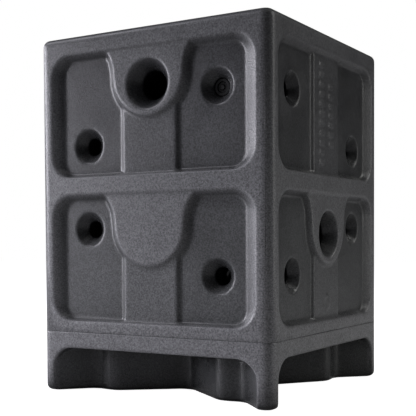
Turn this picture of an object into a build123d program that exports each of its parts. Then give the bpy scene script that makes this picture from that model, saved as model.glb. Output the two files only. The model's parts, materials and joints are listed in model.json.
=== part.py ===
from build123d import *
import os

# Mounting block: a hollow moulded step, square in plan, that stands on four feet joined by a
# core. Millimetres, +Z up, origin on the ground at the middle of the block. The front is the
# face towards -Y, and the side face towards +X is the front turned a quarter turn.

os.makedirs("parts", exist_ok=True)

# Whole block
block_width = 332.0
block_height = 450.0
corner_radius = 13.0
deck_edge_radius = 9.0
wall = 5.0
deck_thickness = 6.5

# Joint between the upper shell and the base
seam_height = 77.0
seam_chamfer = 0.4
lip_height = 8.0
lip_root = 8.0
lip_thickness = 3.5
lip_gap = 0.3
lip_corner_step = 2.0

# Recessed panels, two above each other on every face
panel_side_margin = 19.0
panel_top_margin = 18.0
panel_rail = 21.0
panel_above_seam = 14.0
panel_depth = 8.5
panel_side_slope = 16.5
panel_top_slope = 7.5
panel_bottom_slope = 4.0
panel_radius = 30.0
panel_floor_radius = 16.0
upper_rim_drop = 5.7

# U-shaped boss that hangs from the top of a panel
boss_radius = 49.5
boss_drop = 39.0
boss_slope = 8.5
boss_set_back = 1.8
boss_flare = 17.0

# Rib or pad that runs down the middle of a panel
rib_half_width = 37.5
rib_slope = 5.0
rib_rise = 3.3

# Through hole in a boss, lined by a tube
hole_drop = 51.7
hole_mouth_radius = 30.5
hole_radius = 17.0
hole_taper_depth = 19.4
tube_wall = 3.5
collar_wall = 4.0
collar_length = 10.0
collar_gap = 0.1

# Sockets in the panel floors, as heights above the middle of their panel
socket_mouth_radius = 21.5
socket_radius = 10.0
socket_taper_depth = 12.4
socket_inset = 1.2
socket_end_web = 19.0
upper_socket_high = 17.5
upper_socket_low = -41.0
lower_socket_high = 36.0
lower_socket_low = -21.0

# Plug that closes the vent in one socket
plug_gap = 0.3
plug_length = 27.0
plug_dish_radius = 6.8
plug_dish_depth = 1.4
plug_grip_radius = 2.6
seal_section = 2.4
seal_room = 0.2
seal_gap = 0.08
seal_setback = 16.0

# Coves under the block, one on every face
cove_height = 56.3
cove_top_radius = 27.0
foot_lip = 19.0
cove_valley_in = 38.0
cove_valley_depth = 40.0
cove_bulge_in = 70.0
cove_bulge_depth = 34.5
core_half_width = 72.0
cove_valley_radius = 20.0
cove_bulge_radius = 26.0
cove_middle_radius = 20.0
foot_edge_radius = 7.0
cove_foot_chamfer = 2.0

# Moulded details
tread_pitch = 26.0
tread_groove = 5.0
tread_depth = 1.5
tread_margin = 22.0
bar_pitch = 12.0
bar_length = 15.0
bar_width = 5.0
bar_rise = 1.2
bar_column_across = 14.0
left_bar_count = 11
right_bar_count = 7
ring_radius = 9.0
ring_width = 2.0
ring_above_panel = 22.0

# Worked out from the sizes above
half_width = block_width / 2
panel_bottom_low = seam_height + panel_above_seam
panel_span = block_height - panel_top_margin - panel_bottom_low
panel_height = (panel_span - panel_rail) / 2
panel_bottom_high = panel_bottom_low + panel_height + panel_rail
panel_half_width = half_width - panel_side_margin
panel_floor_half = panel_half_width - panel_side_slope
lower_panel_top = panel_bottom_low + panel_height
upper_panel_top = panel_bottom_high + panel_height - upper_rim_drop
socket_across = (boss_radius + boss_slope + panel_floor_half) / 2 - socket_inset
socket_depth = half_width - socket_across - socket_radius - socket_end_web
tube_radius = hole_radius + tube_wall
tube_seat_depth = hole_taper_depth + wall
plug_face_depth = panel_depth + socket_taper_depth
plug_radius = socket_radius - plug_gap
seal_inner_radius = socket_radius - seal_gap - seal_section
overcut = 2.0


def face_plane(depth):
    """Sketch plane of the front face, this far inside it, with X across and Y up."""
    return Plane(origin=(0, -half_width + depth, 0), x_dir=(1, 0, 0), z_dir=(0, -1, 0))


def on_face(solid, quarter_turns):
    return Rot(0, 0, 90 * quarter_turns) * solid


def rounded_prism(side, radius, bottom, top):
    outline = Pos(0, 0, bottom) * RectangleRounded(side, side, radius)
    return extrude(outline, top - bottom)


def across_face(solid, across, height):
    """Move a solid made around the front face's normal to its place on that face."""
    return Pos(across, 0, height) * solid


def tapered_hole(mouth_radius, end_radius, start_depth, end_depth):
    """Cone about the front face's normal, wide end outwards."""
    length = end_depth - start_depth
    middle = -half_width + (start_depth + end_depth) / 2
    return Pos(0, middle, 0) * Rot(-90, 0, 0) * Cone(mouth_radius, end_radius, length)


def round_hole(radius, start_depth, end_depth):
    middle = -half_width + (start_depth + end_depth) / 2
    return Pos(0, middle, 0) * Rot(-90, 0, 0) * Cylinder(radius, end_depth - start_depth)


def panel_outline(depth, half, radius, bottom, top):
    outline = Pos(0, (bottom + top) / 2) * RectangleRounded(2 * half, top - bottom, radius)
    return face_plane(depth) * outline


def panel_space(bottom, top, grow):
    """Space of one recessed panel. grow makes it larger all round, for the inner surface."""
    rim = panel_outline(0, panel_half_width + grow, panel_radius + grow, bottom - grow, top + grow)
    floor = panel_outline(
        panel_depth + grow,
        panel_floor_half + grow,
        panel_floor_radius + grow,
        bottom + panel_bottom_slope - grow,
        top - panel_top_slope + grow,
    )
    return loft([rim, floor]) + extrude(rim, overcut)


def boss_outline(depth, radius, centre, top, flare):
    """U shape, flared at the top to run into the margin above the panel."""
    bowl = ThreePointArc((-radius, centre), (0, centre - radius), (radius, centre))
    right = TangentArc((radius, centre), (radius + flare, top), tangent=(0, 1))
    left = TangentArc((-radius, centre), (-radius - flare, top), tangent=(0, 1))
    lid = Line((radius + flare, top), (-radius - flare, top))
    return face_plane(depth) * make_face([bowl, right, lid, left])


def boss_solid(bottom, grow):
    """U-shaped boss with sloped sides. Its front stands a little behind the face."""
    top = bottom + panel_height
    centre = top - boss_drop
    front = boss_outline(boss_set_back + grow, boss_radius - grow, centre, top + grow, boss_flare)
    back_radius = boss_radius + boss_slope - grow
    back = boss_outline(panel_depth + grow, back_radius, centre, top + grow, boss_flare)
    return loft([front, back])


def rib_solid(bottom, top, grow):
    middle = (bottom + top) / 2
    rib_front = panel_depth - rib_rise + grow
    front = Pos(0, middle) * Rectangle(2 * (rib_half_width - grow), top - bottom)
    back = Pos(0, middle) * Rectangle(2 * (rib_half_width + rib_slope - grow), top - bottom)
    return loft([face_plane(rib_front) * front, face_plane(panel_depth + grow) * back])


def socket_places(bottom, high, low, high_on_right):
    """Across and height of the two sockets in one panel."""
    middle = bottom + panel_height / 2
    side = 1 if high_on_right else -1
    return [(side * socket_across, middle + high), (-side * socket_across, middle + low)]


def face_sockets(front_face):
    """Sockets of one face. A corner's two faces have theirs at the same heights."""
    upper = socket_places(panel_bottom_high, upper_socket_high, upper_socket_low, front_face)
    lower = socket_places(panel_bottom_low, lower_socket_high, lower_socket_low, not front_face)
    return upper + lower


def socket_space(across, height, grow):
    taper_end = panel_depth + socket_taper_depth
    taper = tapered_hole(socket_mouth_radius + grow, socket_radius + grow, panel_depth, taper_end)
    mouth = round_hole(socket_mouth_radius + grow, 0, panel_depth)
    bore = round_hole(socket_radius + grow, panel_depth, socket_depth + grow)
    return across_face(taper + mouth + bore, across, height)


def hole_height(bottom):
    return bottom + panel_height - hole_drop


def hole_space(height, grow):
    """Tapered mouth of a through hole, as far as the seat of its tube."""
    taper_end = hole_taper_depth + grow
    taper = tapered_hole(hole_mouth_radius + grow, hole_radius + grow, boss_set_back, taper_end)
    lead = round_hole(hole_mouth_radius + grow, -overcut, boss_set_back)
    return across_face(taper + lead, 0, height)


def tube_collar(height):
    """Ring behind a hole's seat that locates the end of the tube."""
    collar_end = tube_seat_depth + collar_length
    collar = round_hole(tube_radius + collar_wall, tube_seat_depth - overcut, collar_end)
    return across_face(collar, 0, height)


def collar_bore(height):
    seat_end = tube_seat_depth + collar_length + overcut
    seat = round_hole(tube_radius + collar_gap, tube_seat_depth, seat_end)
    throat = round_hole(hole_radius, 0, tube_seat_depth + overcut)
    return across_face(seat + throat, 0, height)


def face_space(front_face, grow):
    """All that is hollowed out of one face, front or side, before it is turned to its place."""
    upper = panel_space(panel_bottom_high, upper_panel_top, grow)
    lower = panel_space(panel_bottom_low, lower_panel_top, grow)
    upper_boss_centre = panel_bottom_high + panel_height - boss_drop
    lower_boss_centre = panel_bottom_low + panel_height - boss_drop
    lower = lower - rib_solid(panel_bottom_low - overcut, lower_boss_centre, grow)
    lower = lower - boss_solid(panel_bottom_low, grow)
    if front_face:
        upper = upper - rib_solid(panel_bottom_high - overcut, upper_boss_centre, grow)
        upper = upper - boss_solid(panel_bottom_high, grow)
        holes = hole_space(hole_height(panel_bottom_high), grow)
    else:
        upper = upper - rib_solid(panel_bottom_high - overcut, upper_panel_top + overcut, grow)
        holes = hole_space(hole_height(panel_bottom_low), grow)
    space = upper + lower + holes
    for across, height in face_sockets(front_face):
        space = space + socket_space(across, height, grow)
    return space


def raised_mark(outline):
    """A low raised shape on the front of a rib or pad. It starts a little inside the moulding."""
    root = overcut / 2
    return extrude(face_plane(panel_depth - rib_rise + root) * outline, bar_rise + root)


def pad_bars():
    """Two columns of plain raised bars on the side face's upper pad."""
    middle = (panel_bottom_high + upper_panel_top) / 2
    columns = [(-bar_column_across, left_bar_count), (bar_column_across, right_bar_count)]
    bars = []
    for across, count in columns:
        for index in range(count):
            height = middle + (index - (count - 1) / 2) * bar_pitch
            bars.append(raised_mark(Pos(across, height) * SlotOverall(bar_length, bar_width)))
    return bars


def rib_ring():
    """Plain raised ring low on the side face's lower rib."""
    outline = Circle(ring_radius) - Circle(ring_radius - ring_width)
    return raised_mark(Pos(0, panel_bottom_low + ring_above_panel) * outline)


def tread_grooves():
    """Crossing drain grooves that leave raised square pads on the deck, as one solid."""
    count = int(2 * (half_width - tread_margin) // tread_pitch)
    side = count * tread_pitch + tread_groove
    pads = GridLocations(tread_pitch, tread_pitch, count, count) * Rectangle(
        tread_pitch - tread_groove, tread_pitch - tread_groove
    )
    outline = Rectangle(side, side) - pads
    return extrude(Pos(0, 0, block_height - tread_depth) * outline, tread_depth + overcut)


def shell_outside():
    body = rounded_prism(block_width, corner_radius, seam_height, block_height)
    body = fillet(body.faces().sort_by(Axis.Z)[-1].edges(), deck_edge_radius)
    return chamfer(body.faces().sort_by(Axis.Z)[0].edges(), seam_chamfer)


def upper_shell():
    inside_top = block_height - deck_thickness
    inside_side = block_width - 2 * wall
    inside = rounded_prism(inside_side, corner_radius - wall, seam_height - overcut, inside_top)
    body = shell_outside()
    for turns in range(4):
        front_face = turns % 2 == 0
        tube_height = hole_height(panel_bottom_high if front_face else panel_bottom_low)
        body = body - on_face(face_space(front_face, 0), turns)
        inside = inside - on_face(face_space(front_face, wall), turns)
        inside = inside - on_face(tube_collar(tube_height), turns)
    body = body - inside
    for turns in range(4):
        front_face = turns % 2 == 0
        tube_height = hole_height(panel_bottom_high if front_face else panel_bottom_low)
        body = body - on_face(collar_bore(tube_height), turns)
        if not front_face:
            for bar in pad_bars():
                body = body + on_face(bar, turns)
            body = body + on_face(rib_ring(), turns)
    return body - vent_bore() - tread_grooves()


def vent_place():
    return face_sockets(True)[0]


def vent_bore():
    """Opens the front's upper right socket into the hollow of the block."""
    across, height = vent_place()
    bore = round_hole(socket_radius, panel_depth, socket_depth + wall + overcut)
    return across_face(bore, across, height)


def cove_outline(grow):
    """Plan of one cove: two bulges on each side of a deep middle."""
    edge = half_width - foot_lip
    middle_depth = half_width - core_half_width
    right = [
        (edge, -half_width - overcut),
        (edge, -half_width + overcut),
        (edge - cove_valley_in, -half_width + cove_valley_depth),
        (edge - cove_bulge_in, -half_width + cove_bulge_depth),
    ]
    left = [(-x, y) for x, y in reversed(right)]
    outline = make_face(Polyline(right + [(0, -half_width + middle_depth)] + left, close=True))
    corners = outline.vertices()
    valleys = [v for v in corners if abs(v.Y + half_width - cove_valley_depth) < 0.01]
    bulges = [v for v in corners if abs(v.Y + half_width - cove_bulge_depth) < 0.01]
    middle = [v for v in corners if abs(v.X) < 0.01]
    outline = fillet(valleys, cove_valley_radius)
    outline = fillet(pick(outline, bulges), cove_bulge_radius)
    outline = fillet(pick(outline, middle), cove_middle_radius)
    if grow > 0:
        outline = offset(outline, grow)
    return outline


def pick(outline, wanted):
    """Corners of an outline that lie where the wanted ones do."""
    places = [v.center() for v in wanted]
    return [v for v in outline.vertices() if min((v.center() - p).length for p in places) < 0.01]


def cove_space(grow):
    """One cove: its plan, raised to the arch that shows on the face."""
    plan = extrude(Pos(0, 0, -overcut) * cove_outline(grow), cove_height + grow + overcut)
    edge = half_width - foot_lip + grow
    top = cove_height + grow
    bottom = -cove_height
    arch = Pos(0, (top + bottom) / 2) * RectangleRounded(2 * edge, top - bottom, cove_top_radius + grow)
    through = extrude(face_plane(-overcut - grow) * arch, -half_width - overcut - grow)
    return plan & through


def base_moulding():
    body = rounded_prism(block_width, corner_radius, 0, seam_height)
    body = chamfer(body.faces().sort_by(Axis.Z)[-1].edges(), seam_chamfer)
    body = fillet(body.faces().sort_by(Axis.Z)[0].edges(), foot_edge_radius)
    inside_side = block_width - 2 * wall
    inside = rounded_prism(inside_side, corner_radius - wall, wall, seam_height + overcut)
    for turns in range(4):
        body = body - on_face(cove_space(0), turns)
        inside = inside - on_face(cove_space(wall), turns)
    body = chamfer(body.faces().sort_by(Axis.Z)[0].edges(), cove_foot_chamfer)
    return (body - inside) + seam_lip()


def seam_lip():
    """Upstand on the base that fits inside the shell's wall. Its root is inside the base's own wall."""
    lip_side = block_width - 2 * wall - 2 * lip_gap
    root_side = block_width - 2 * wall + overcut
    bore_side = lip_side - 2 * lip_thickness
    bottom = seam_height - lip_root
    upstand = rounded_prism(lip_side, corner_radius - wall, seam_height, seam_height + lip_height)
    root = rounded_prism(root_side, corner_radius - wall, bottom, seam_height)
    bore_radius = corner_radius - wall - lip_corner_step
    bore = rounded_prism(bore_side, bore_radius, bottom, seam_height + lip_height)
    return upstand + root - bore


def through_tube(front_face):
    height = hole_height(panel_bottom_high if front_face else panel_bottom_low)
    far_end = block_width - tube_seat_depth
    tube = round_hole(tube_radius, tube_seat_depth, far_end)
    tube = tube - round_hole(hole_radius, 0, block_width)
    return on_face(across_face(tube, 0, height), 0 if front_face else 1)


def vent_plug():
    """Stepped plug: a dished outer end with a small button to pull it by, and a groove for its seal."""
    start = plug_face_depth
    plug = round_hole(plug_radius, start, start + plug_length)
    dish_end = start + plug_dish_depth
    dish = round_hole(plug_dish_radius, start - overcut, dish_end)
    button = round_hole(plug_grip_radius, start - overcut, dish_end)
    groove_start = start + seal_setback
    groove_end = groove_start + seal_section + seal_room
    groove = round_hole(socket_radius, groove_start, groove_end)
    groove = groove - round_hole(seal_inner_radius, groove_start, groove_end)
    across, height = vent_place()
    return across_face(plug - (dish - button) - groove, across, height)


def plug_seal():
    across, height = vent_place()
    middle = -half_width + plug_face_depth + seal_setback + (seal_section + seal_room) / 2
    ring = Torus(seal_inner_radius + seal_section / 2, seal_section / 2)
    return across_face(Pos(0, middle, 0) * Rot(90, 0, 0) * ring, across, height)


nodes = {
    "upper_shell": upper_shell(),
    "base_moulding": base_moulding(),
    "upper_through_tube": through_tube(True),
    "lower_through_tube": through_tube(False),
    "vent_plug": vent_plug(),
    "plug_seal": plug_seal(),
}

for name, solid in nodes.items():
    export_step(solid, f"parts/{name}.step")
    print(name, len(solid.solids()), round(solid.volume / 1000), "cm3")
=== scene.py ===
import bpy
import json
import math
from mathutils import Vector, Matrix

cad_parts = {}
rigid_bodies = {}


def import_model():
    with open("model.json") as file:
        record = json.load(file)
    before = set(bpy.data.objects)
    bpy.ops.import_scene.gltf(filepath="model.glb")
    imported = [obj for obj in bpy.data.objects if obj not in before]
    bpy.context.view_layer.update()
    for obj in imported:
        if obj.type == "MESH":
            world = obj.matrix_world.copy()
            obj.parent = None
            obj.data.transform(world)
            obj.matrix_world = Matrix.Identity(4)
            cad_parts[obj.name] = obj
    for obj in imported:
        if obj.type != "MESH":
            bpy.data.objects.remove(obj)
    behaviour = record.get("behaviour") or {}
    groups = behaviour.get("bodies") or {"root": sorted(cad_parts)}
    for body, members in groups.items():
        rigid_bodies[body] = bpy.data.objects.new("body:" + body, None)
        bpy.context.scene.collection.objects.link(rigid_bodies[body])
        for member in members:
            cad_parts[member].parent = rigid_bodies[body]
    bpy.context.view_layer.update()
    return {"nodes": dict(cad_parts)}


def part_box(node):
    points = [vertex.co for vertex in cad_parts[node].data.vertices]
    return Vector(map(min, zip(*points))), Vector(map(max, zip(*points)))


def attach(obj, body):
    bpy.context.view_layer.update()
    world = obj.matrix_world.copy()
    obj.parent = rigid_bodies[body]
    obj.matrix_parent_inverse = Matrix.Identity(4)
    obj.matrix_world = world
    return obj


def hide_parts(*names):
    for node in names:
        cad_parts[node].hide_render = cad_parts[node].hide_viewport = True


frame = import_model()
shellLow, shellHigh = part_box("upper_shell")
halfWidth = shellHigh[0]
deckHeight = shellHigh[2]
seamHeight = shellLow[2]
mergeDistance = 0.00001        # points of a copied node nearer than this are merged
samePoint = 0.000001           # and points nearer than this are taken as one
print("stage: frame loaded")


def deselectAll():
    if bpy.context.mode != "OBJECT":
        bpy.ops.object.mode_set(mode="OBJECT")
    bpy.ops.object.select_all(action="DESELECT")


def makeActive(piece):
    deselectAll()
    piece.select_set(True)
    bpy.context.view_layer.objects.active = piece


def copyNode(nodeName, pieceName):  # a merged copy of a CAD node, free to be worked on
    makeActive(frame["nodes"][nodeName])
    bpy.ops.object.duplicate()
    piece = bpy.context.view_layer.objects.active
    piece.name = pieceName
    piece.data.name = pieceName
    piece.parent = None
    for key in list(piece.keys()):
        if key.startswith("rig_"):
            del piece[key]
    piece.data.materials.clear()
    bpy.ops.object.mode_set(mode="EDIT")
    bpy.ops.mesh.select_all(action="SELECT")
    bpy.ops.mesh.remove_doubles(threshold=mergeDistance)
    bpy.ops.object.mode_set(mode="OBJECT")
    return piece


def applyModifier(piece, kind, **settings):
    makeActive(piece)
    modifier = piece.modifiers.new(kind.title(), kind)
    for key, value in settings.items():
        setattr(modifier, key, value)
    bpy.ops.object.modifier_apply(modifier=modifier.name)


def selectPoints(piece, test):  # leaves the piece in edit mode with the passing points selected
    makeActive(piece)
    bpy.ops.object.mode_set(mode="EDIT")
    bpy.ops.mesh.select_mode(type="VERT")
    bpy.ops.mesh.select_all(action="DESELECT")
    bpy.ops.object.mode_set(mode="OBJECT")
    for point in piece.data.vertices:
        if test(point.co):
            point.select = True
    bpy.ops.object.mode_set(mode="EDIT")


def movePoints(piece, test, rise):
    selectPoints(piece, test)
    bpy.ops.transform.translate(value=(0, 0, rise))
    bpy.ops.object.mode_set(mode="OBJECT")


def deletePoints(piece, test):
    selectPoints(piece, test)
    bpy.ops.mesh.delete(type="VERT")
    bpy.ops.object.mode_set(mode="OBJECT")


def keepOuterSkin(piece):  # what hangs together with the point furthest out along X stays
    points = piece.data.vertices
    furthest = max(range(len(points)), key=lambda index: abs(points[index].co.x))
    place = points[furthest].co.copy()
    selectPoints(piece, lambda spot: (spot - place).length < samePoint)
    bpy.ops.mesh.select_linked()
    bpy.ops.mesh.select_all(action="INVERT")
    bpy.ops.mesh.delete(type="VERT")
    bpy.ops.object.mode_set(mode="OBJECT")


def selectOpenEdges(piece, test):  # leaves the open edges whose two ends pass selected, in edit mode
    selectPoints(piece, lambda spot: False)
    bpy.ops.mesh.select_mode(type="EDGE")
    bpy.ops.mesh.select_non_manifold(extend=False, use_wire=False, use_multi_face=False,
                                     use_non_contiguous=False, use_verts=False)
    bpy.ops.object.mode_set(mode="OBJECT")
    points = piece.data.vertices
    for edge in piece.data.edges:
        if edge.select and not all(test(points[index].co) for index in edge.vertices):
            edge.select = False
    for polygon in piece.data.polygons:
        polygon.select = False
    for point in points:
        point.select = False
    for edge in piece.data.edges:
        if edge.select:
            points[edge.vertices[0]].select = True
            points[edge.vertices[1]].select = True
    bpy.ops.object.mode_set(mode="EDIT")


# a skin is the outer surface of a moulding, with its lips rounded as plastic leaves the mould
skin = {
    "voxel": 0.0016,
    "relaxPasses": 4,
    "relaxAmount": 0.5,
    "grooves": 0.0022,         # the top of the deck is left crisp to this depth, for its grooves
    "rimReach": 0.0006,        # points this near the seam are the rim of a moulding
    "rimWidth": 0.0045,        # the base's rim, which lies outside its upstand
    "rimStretch": 0.008,       # wall added past the seam, so that the cut there is crisp
    "rimTrim": 0.004,          # how much of that wall is kept until the cut
    "seamBevel": 0.00015,
    "seamFlatness": 0.00001,   # the face that closes the cut is this near the seam
    "seamFacing": 0.99,        # and its normal is this upright
    "shellTriangles": 186000,
    "baseTriangles": 90000,
    "wobble": 0.0004,          # the wall is never quite flat
    "wobbleSize": 0.11,
    "wobbleLevel": 0.9,        # nearly all of the wobble goes inward
}


def soften(piece):
    applyModifier(piece, "REMESH", mode="VOXEL", voxel_size=skin["voxel"], adaptivity=0.0)
    relaxed = piece.vertex_groups.new(name="relaxed")
    grooveFloor = deckHeight - skin["grooves"]
    relaxed.add([point.index for point in piece.data.vertices if point.co.z < grooveFloor], 1.0, "REPLACE")
    applyModifier(piece, "SMOOTH", factor=skin["relaxAmount"], iterations=skin["relaxPasses"],
                  vertex_group="relaxed")
    piece.vertex_groups.clear()


def thinOut(piece, triangles):
    count = sum(len(polygon.vertices) - 2 for polygon in piece.data.polygons)
    if count > triangles:
        applyModifier(piece, "DECIMATE", ratio=triangles / count)
    print("stage:", piece.name, count, "triangles thinned to", len(piece.data.polygons))


def cutSeam(piece, clearAbove):  # flat cut at the seam, closed with one face
    makeActive(piece)
    bpy.ops.object.mode_set(mode="EDIT")
    bpy.ops.mesh.select_mode(type="VERT")
    bpy.ops.mesh.select_all(action="SELECT")
    bpy.ops.mesh.bisect(plane_co=(0, 0, seamHeight), plane_no=(0, 0, 1), use_fill=True,
                        clear_outer=clearAbove, clear_inner=not clearAbove)
    bpy.ops.object.mode_set(mode="OBJECT")


def bevelSeam(piece):
    makeActive(piece)
    bpy.ops.object.mode_set(mode="EDIT")
    bpy.ops.mesh.select_mode(type="FACE")
    bpy.ops.mesh.select_all(action="DESELECT")
    bpy.ops.object.mode_set(mode="OBJECT")
    for polygon in piece.data.polygons:
        atSeam = abs(polygon.center.z - seamHeight) < skin["seamFlatness"]
        polygon.select = atSeam and abs(polygon.normal.z) > skin["seamFacing"]
    bpy.ops.object.mode_set(mode="EDIT")
    bpy.ops.mesh.region_to_loop()
    bpy.ops.mesh.bevel(offset=skin["seamBevel"], segments=1, affect="EDGES")
    bpy.ops.object.mode_set(mode="OBJECT")


def wobble(piece):
    texture = bpy.data.textures.get("wallWobble") or bpy.data.textures.new("wallWobble", "CLOUDS")
    texture.noise_scale = skin["wobbleSize"]
    applyModifier(piece, "DISPLACE", texture=texture, strength=skin["wobble"],
                  mid_level=skin["wobbleLevel"])


def finishSkin(piece, triangles, clearAbove):
    thinOut(piece, triangles)
    cutSeam(piece, clearAbove)
    bevelSeam(piece)
    wobble(piece)


tubeCut = {
    "radius": 0.0235,
    "from": 0.028,             # depths behind the outer face, between which a hole's wall
    "to": 0.033,               # is cut away from the hollow inside
    "edgeMargin": 0.004,       # how far outside that radius the cut edges may lie
}
ventCut = {
    "radius": 0.0135,
    "beforePlugEnd": 0.0005,   # its cut starts this much in front of the plug's inner end
    "edgeRadius": 0.02,
}


def tubeAxes():  # each through hole: the axis it runs along, and its height
    axes = []
    for nodeName, along in (("upper_through_tube", 1), ("lower_through_tube", 0)):
        low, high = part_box(nodeName)
        axes.append((along, (low[2] + high[2]) / 2))
    return axes


def nearTube(spot, along, height, radius):
    across = spot.x if along == 1 else spot.y
    return math.hypot(across, spot.z - height) < radius


def cutTubes(piece, axes):  # parts each hole's mouths from the hollow inside
    near, far = halfWidth - tubeCut["to"], halfWidth - tubeCut["from"]
    for along, height in axes:
        deletePoints(piece, lambda spot: near < abs(spot[along]) < far
                     and nearTube(spot, along, height, tubeCut["radius"]))


def bridgeTubes(piece, axes):  # joins the two mouths of each hole by a plain tunnel
    edgeReach = tubeCut["radius"] + tubeCut["edgeMargin"]
    for along, height in axes:
        selectOpenEdges(piece, lambda spot: nearTube(spot, along, height, edgeReach))
        bpy.ops.mesh.bridge_edge_loops()
        bpy.ops.object.mode_set(mode="OBJECT")


def makeUpperShell():
    shell = copyNode("upper_shell", "upperShell")
    movePoints(shell, lambda spot: spot.z < seamHeight + skin["rimReach"], -skin["rimStretch"])
    soften(shell)
    deletePoints(shell, lambda spot: spot.z < seamHeight - skin["rimTrim"])
    axes = tubeAxes()
    cutTubes(shell, axes)
    plugLow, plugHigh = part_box("vent_plug")
    ventX, ventZ = (plugLow[0] + plugHigh[0]) / 2, (plugLow[2] + plugHigh[2]) / 2
    deletePoints(shell, lambda spot: plugHigh[1] - ventCut["beforePlugEnd"] < spot.y < 0
                 and math.hypot(spot.x - ventX, spot.z - ventZ) < ventCut["radius"])
    keepOuterSkin(shell)
    bridgeTubes(shell, axes)
    selectOpenEdges(shell, lambda spot: math.hypot(spot.x - ventX, spot.z - ventZ) < ventCut["edgeRadius"])
    bpy.ops.mesh.edge_face_add()
    bpy.ops.object.mode_set(mode="OBJECT")
    finishSkin(shell, skin["shellTriangles"], clearAbove=False)
    return shell


def makeBase():
    base = copyNode("base_moulding", "baseMoulding")
    rimInside = halfWidth - skin["rimWidth"]
    movePoints(base, lambda spot: spot.z > seamHeight - skin["rimReach"]
               and max(abs(spot.x), abs(spot.y)) > rimInside, skin["rimStretch"])
    soften(base)
    deletePoints(base, lambda spot: spot.z > seamHeight + skin["rimTrim"])
    keepOuterSkin(base)
    finishSkin(base, skin["baseTriangles"], clearAbove=True)
    return base


shell = makeUpperShell()
base = makeBase()
mouldings = (
    (shell, "upper_shell", "body_plastic"),
    (base, "base_moulding", "base_plastic"),
)
for piece, node, slotName in mouldings:
    makeActive(piece)
    bpy.ops.object.shade_smooth()
    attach(piece, "block")
    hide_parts(node)
print("stage: skins made")


# a noise is its scale and detail, and a span is the two values between which an effect comes or goes
bodyFinish = {
    "color": (0.025, 0.0252, 0.027),
    "hazeColor": (0.055, 0.056, 0.060),
    "hazeNoise": (9.0, 5.0),
    "hazeSpan": (0.35, 0.68),
    # painted light: the walls are painted paler towards the foot, standing in for light bounced up from the
    # floor
    "paintedBounceColor": (0.100, 0.103, 0.105),
    "paintedBounceHeight": 0.38,        # painted light bounced from the floor thins out up to this height
    "paintedBounceAmount": 0.75,
    "outerLightColor": (0.172, 0.172, 0.180),
    "outerLightDepths": (0.0070, 0.0015),       # faces nearer the outside than this are painted paler: painted light on the outer faces, which leaves the recessed floors in painted shade
    "outerLightAmounts": (0.95, 0.27),          # at the foot and at the deck; paler at the foot as painted light bounced from the floor
    "gritNoise": (600.0, 3.0),
    "gritSpan": (0.32, 0.68),
    "gritShades": (0.5, 1.55),
    # painted highlight: convex lips and edges are painted paler, standing in for their sheen
    "lipHighlightColor": (0.15, 0.15, 0.155),
    "lipReach": 0.0035,
    "lipSpan": (0.35, 0.85),
    "lipAmount": 0.8,
    # painted shade: cups, coves, recesses and creases are painted near black, by how closed in a point is
    "paintedShadeColor": (0.002, 0.002, 0.0022),
    "cavityReach": 0.045,
    "cavitySpan": (0.42, 1.0),
    "cavityAmount": 0.97,
    "cavityRoughness": 0.13,   # the cores that form the cups are polished
    "creaseReach": 0.004,
    "creaseSpan": (0.45, 0.92),
    "creaseAmount": 0.9,
    "specular": 0.32,
    "roughness": 0.37,
    "roughnessSpread": 0.14,
    "roughnessNoise": (20.7, 4.0),
    "roughnessSpan": (0.3, 0.7),
    "peelNoise": (520.0, 2.0),
    "peelHeight": 0.00026,
    "grainNoise": (1300.0, 1.0),
    "grainHeight": 0.00007,
    "noiseRoughness": 0.55,
    "cornerSamples": 8,
}
tubeFinish = dict(bodyFinish, color=(0.012, 0.012, 0.013), hazeColor=(0.02, 0.02, 0.021), roughness=0.34)
plugFinish = dict(bodyFinish, color=(0.03, 0.03, 0.032), hazeColor=(0.045, 0.045, 0.048),
                  lipHighlightColor=(0.05, 0.05, 0.052), roughness=0.38)
sealFinish = dict(bodyFinish, color=(0.010, 0.010, 0.010), hazeColor=(0.016, 0.016, 0.016), roughness=0.6)
mixNumbers = {"inputs": (2, 3), "output": 0}      # a Mix node's sockets when it mixes numbers
mixColors = {"inputs": (6, 7), "output": 2}       # and when it mixes colours


def addNode(tree, kind, **inputs):
    node = tree.nodes.new(kind)
    for name, value in inputs.items():
        node.inputs[name].default_value = value
    return node


def addNoise(tree, place, finish, noiseName):
    scale, detail = finish[noiseName]
    noise = addNode(tree, "ShaderNodeTexNoise", Scale=scale, Detail=detail,
                    Roughness=finish["noiseRoughness"])
    tree.links.new(place, noise.inputs["Vector"])
    return noise.outputs["Fac"]


def addCorner(tree, finish, reach, inside=False):  # 1 in the open, less in a corner, or inside an edge
    corner = addNode(tree, "ShaderNodeAmbientOcclusion", Distance=reach)
    corner.inside = inside
    corner.samples = finish["cornerSamples"]
    return corner.outputs["AO"]


def remap(tree, value, span, newSpan=(0.0, 1.0)):
    node = tree.nodes.new("ShaderNodeMapRange")
    tree.links.new(value, node.inputs["Value"])
    for name, number in zip(("From Min", "From Max", "To Min", "To Max"), (*span, *newSpan)):
        node.inputs[name].default_value = number
    return node.outputs["Result"]


def mathNode(tree, operation, first, second=None):
    node = tree.nodes.new("ShaderNodeMath")
    node.operation = operation
    tree.links.new(first, node.inputs[0])
    if second is not None:
        tree.links.new(second, node.inputs[1])
    return node.outputs[0]


def blendColor(tree, factor, first, second):  # first and second are a colour or a socket
    node = tree.nodes.new("ShaderNodeMix")
    node.data_type = "RGBA"
    tree.links.new(factor, node.inputs[0])
    for index, value in zip(mixColors["inputs"], (first, second)):
        if isinstance(value, tuple):
            node.inputs[index].default_value = (*value, 1)
        else:
            tree.links.new(value, node.inputs[index])
    return node.outputs[mixColors["output"]]


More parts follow.
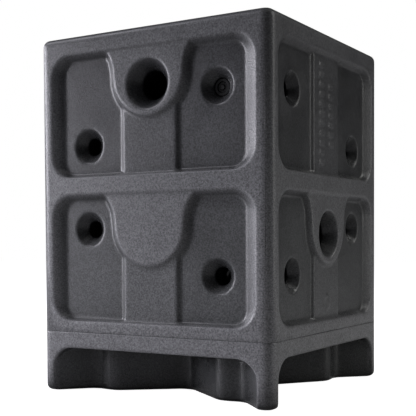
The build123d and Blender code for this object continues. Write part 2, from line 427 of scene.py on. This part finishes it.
def shadeColor(tree, color, amount):  # a colour times a number
    node = tree.nodes.new("ShaderNodeMix")
    node.data_type = "RGBA"
    node.blend_type = "MULTIPLY"
    node.inputs[0].default_value = 1.0
    for index, socket in zip(mixColors["inputs"], (color, amount)):
        tree.links.new(socket, node.inputs[index])
    return node.outputs[mixColors["output"]]


def blendNumber(tree, factor, first, second):  # first is a socket, second a number
    node = tree.nodes.new("ShaderNodeMix")
    tree.links.new(factor, node.inputs[0])
    firstIndex, secondIndex = mixNumbers["inputs"]
    tree.links.new(first, node.inputs[firstIndex])
    node.inputs[secondIndex].default_value = second
    return node.outputs[mixNumbers["output"]]


def addBump(tree, height, distance, previous=None):
    bump = addNode(tree, "ShaderNodeBump", Strength=1.0, Distance=distance)
    tree.links.new(height, bump.inputs["Height"])
    if previous is not None:
        tree.links.new(previous, bump.inputs["Normal"])
    return bump.outputs["Normal"]


def outerLightMask(tree, axes, finish):  # painted light: how near a point is to the block's outer faces, more at the foot
    outward = mathNode(tree, "MAXIMUM", mathNode(tree, "ABSOLUTE", axes.outputs["X"]),
                       mathNode(tree, "ABSOLUTE", axes.outputs["Y"]))
    starts, complete = finish["outerLightDepths"]
    outerLight = remap(tree, outward, (halfWidth - starts, halfWidth - complete))
    byHeight = remap(tree, axes.outputs["Z"], (0.0, deckHeight), finish["outerLightAmounts"])
    return mathNode(tree, "MULTIPLY", outerLight, byHeight)


def plasticColor(tree, place, cavityMask, finish):
    haze = remap(tree, addNoise(tree, place, finish, "hazeNoise"), finish["hazeSpan"])
    color = blendColor(tree, haze, finish["color"], finish["hazeColor"])
    axes = tree.nodes.new("ShaderNodeSeparateXYZ")
    tree.links.new(place, axes.inputs[0])
    # painted bounce light: paler towards the foot
    paintedBounce = remap(tree, axes.outputs["Z"], (0.0, finish["paintedBounceHeight"]), (finish["paintedBounceAmount"], 0.0))
    color = blendColor(tree, paintedBounce, color, finish["paintedBounceColor"])
    # painted light: outer faces paler than the recessed floors, most at the foot
    color = blendColor(tree, outerLightMask(tree, axes, finish), color, finish["outerLightColor"])
    grit = remap(tree, addNoise(tree, place, finish, "gritNoise"), finish["gritSpan"], finish["gritShades"])
    color = shadeColor(tree, color, grit)
    # painted highlight along the lips
    lip = addCorner(tree, finish, finish["lipReach"], inside=True)
    color = blendColor(tree, remap(tree, lip, finish["lipSpan"], (finish["lipAmount"], 0.0)),
                       color, finish["lipHighlightColor"])
    # painted shade in the cavities
    color = blendColor(tree, cavityMask, color, finish["paintedShadeColor"])
    # painted shade in the creases
    crease = addCorner(tree, finish, finish["creaseReach"])
    creaseMask = remap(tree, crease, finish["creaseSpan"], (finish["creaseAmount"], 0.0))
    return blendColor(tree, creaseMask, color, finish["paintedShadeColor"])


def plasticRoughness(tree, place, cavityMask, finish):
    middle, spread = finish["roughness"], finish["roughnessSpread"] / 2
    rough = remap(tree, addNoise(tree, place, finish, "roughnessNoise"), finish["roughnessSpan"],
                  (middle - spread, middle + spread))
    return blendNumber(tree, cavityMask, rough, finish["cavityRoughness"])


def mouldedPlastic(name, finish):
    material = bpy.data.materials.new(name)
    material.use_nodes = True
    tree = material.node_tree
    shader = tree.nodes["Principled BSDF"]
    place = tree.nodes.new("ShaderNodeTexCoord").outputs["Object"]
    # this mask paints shade into the cavities, and makes the cup cores smoother
    cavity = addCorner(tree, finish, finish["cavityReach"])
    cavityMask = remap(tree, cavity, finish["cavitySpan"], (finish["cavityAmount"], 0.0))
    tree.links.new(plasticColor(tree, place, cavityMask, finish), shader.inputs["Base Color"])
    shader.inputs["Specular IOR Level"].default_value = finish["specular"]
    tree.links.new(plasticRoughness(tree, place, cavityMask, finish), shader.inputs["Roughness"])
    peel = addBump(tree, addNoise(tree, place, finish, "peelNoise"), finish["peelHeight"])
    grain = addBump(tree, addNoise(tree, place, finish, "grainNoise"), finish["grainHeight"], peel)
    tree.links.new(grain, shader.inputs["Normal"])
    return material


def dress(piece, material):
    piece.data.materials.clear()
    piece.data.materials.append(material)


bodyPlastic = mouldedPlastic("charcoalPolyethylene", bodyFinish)
dress(shell, bodyPlastic)
dress(base, bodyPlastic)
tubePlastic = mouldedPlastic("tubeBlack", tubeFinish)
nodeFinishes = {
    "upper_through_tube": tubePlastic,
    "lower_through_tube": tubePlastic,
    "vent_plug": mouldedPlastic("plugGrey", plugFinish),
    "plug_seal": mouldedPlastic("sealRubber", sealFinish),
    "upper_shell": bodyPlastic,
    "base_moulding": bodyPlastic,
}
for nodeName, material in nodeFinishes.items():
    dress(frame["nodes"][nodeName], material)
print("stage: finishes made")


cameraView = {
    "place": (0.6205, -1.0661, 0.1883),
    "yaw": 31.28,
    "pitch": -2.0,
    "roll": -0.34,
    "lens": 78.63,
    "sensor": 36,
    "shift": (0.0195, 0.162),
    "nearest": 0.01,
}


def addCamera():
    yaw, pitch, roll = (math.radians(cameraView[key]) for key in ("yaw", "pitch", "roll"))
    forward = Vector((-math.sin(yaw) * math.cos(pitch), math.cos(yaw) * math.cos(pitch), math.sin(pitch)))
    right = Vector((math.cos(yaw), math.sin(yaw), 0))
    up = right.cross(forward)
    rolledRight = right * math.cos(roll) + up * math.sin(roll)
    rolledUp = up * math.cos(roll) - right * math.sin(roll)
    turn = Matrix((rolledRight, rolledUp, -forward)).transposed()
    data = bpy.data.cameras.new("camera")
    camera = bpy.data.objects.new("camera", data)
    bpy.context.scene.collection.objects.link(camera)
    camera.matrix_world = Matrix.Translation(cameraView["place"]) @ turn.to_4x4()
    data.lens = cameraView["lens"]
    data.sensor_width = cameraView["sensor"]
    data.shift_x, data.shift_y = cameraView["shift"]
    data.clip_start = cameraView["nearest"]
    bpy.context.scene.camera = camera


coolWhite = (0.93, 0.92, 1.0)
warmWhite = (1.0, 1.0, 0.98)
plainWhite = (1.0, 1.0, 1.0)
softboxes = {                  # place, width and height, watts, colour
    "side": ((-3.08, -0.27, 1.08), (1.0, 1.0), 36, coolWhite),
    "key": ((-2.74, -1.58, 0.70), (1.0, 1.2), 80, coolWhite),
    "high": ((-1.96, -1.13, 2.51), (1.0, 1.0), 28, coolWhite),
    "right": ((2.15, 1.50, 2.05), (1.0, 1.0), 22, warmWhite),
    "strip": ((1.95, 1.00, 0.55), (0.3, 1.2), 6, warmWhite),
    "top": ((0.0, -1.2, 2.0), (0.4, 0.4), 2.5, plainWhite),
    "spark": ((0.90, -0.22, 2.24), (0.3, 0.3), 2.5, plainWhite),  # for the glints in the cups
}


def addSoftbox(name):  # aimed at the middle of the block
    place, size, power, color = softboxes[name]
    data = bpy.data.lights.new(name + "Light", "AREA")
    data.shape = "RECTANGLE"
    data.size, data.size_y = size
    data.energy = power
    data.color = color
    light = bpy.data.objects.new(name + "Light", data)
    bpy.context.scene.collection.objects.link(light)
    light.location = place
    aim = Vector((0, 0, deckHeight / 2)) - Vector(place)
    light.rotation_euler = aim.to_track_quat("-Z", "Y").to_euler()


room = {
    "floorSize": 14,
    "floorDrop": 0.0005,       # the floor lies just clear of the feet
    "floorColor": (0.6, 0.6, 0.6, 1),
    "floorRoughness": 0.9,
    "floorGlow": 0.06,
    "glowColor": (1, 1, 1, 1),
    "roomLight": 0.01,
}


def addFloor():  # white to look at, and a dim grey to the light that falls on the block
    deselectAll()
    bpy.ops.mesh.primitive_plane_add(size=room["floorSize"], location=(0, 0, -room["floorDrop"]))
    floor = bpy.context.view_layer.objects.active
    floor.name = "floor"
    material = bpy.data.materials.new("paleFloor")
    material.use_nodes = True
    tree = material.node_tree
    shader = tree.nodes["Principled BSDF"]
    shader.inputs["Base Color"].default_value = room["floorColor"]
    shader.inputs["Roughness"].default_value = room["floorRoughness"]
    shader.inputs["Emission Color"].default_value = room["glowColor"]
    rays = tree.nodes.new("ShaderNodeLightPath")
    glow = remap(tree, rays.outputs["Is Camera Ray"], (0.0, 1.0), (room["floorGlow"], 1.0))
    tree.links.new(glow, shader.inputs["Emission Strength"])
    floor.data.materials.append(material)


def lightRoom():  # a dim room around a bright backdrop
    world = bpy.data.worlds.new("studio")
    bpy.context.scene.world = world
    world.use_nodes = True
    tree = world.node_tree
    backdrop = tree.nodes["Background"]
    backdrop.inputs["Color"].default_value = room["glowColor"]
    backdrop.inputs["Strength"].default_value = 1.0
    dim = addNode(tree, "ShaderNodeBackground", Color=room["glowColor"], Strength=room["roomLight"])
    rays = tree.nodes.new("ShaderNodeLightPath")
    mix = tree.nodes.new("ShaderNodeMixShader")
    tree.links.new(rays.outputs["Is Camera Ray"], mix.inputs[0])
    tree.links.new(dim.outputs[0], mix.inputs[1])
    tree.links.new(backdrop.outputs[0], mix.inputs[2])
    tree.links.new(mix.outputs[0], tree.nodes["World Output"].inputs["Surface"])


addCamera()
addFloor()
for lightName in softboxes:
    addSoftbox(lightName)
lightRoom()
bpy.context.scene.view_settings.view_transform = "Standard"
print("stage: studio set")
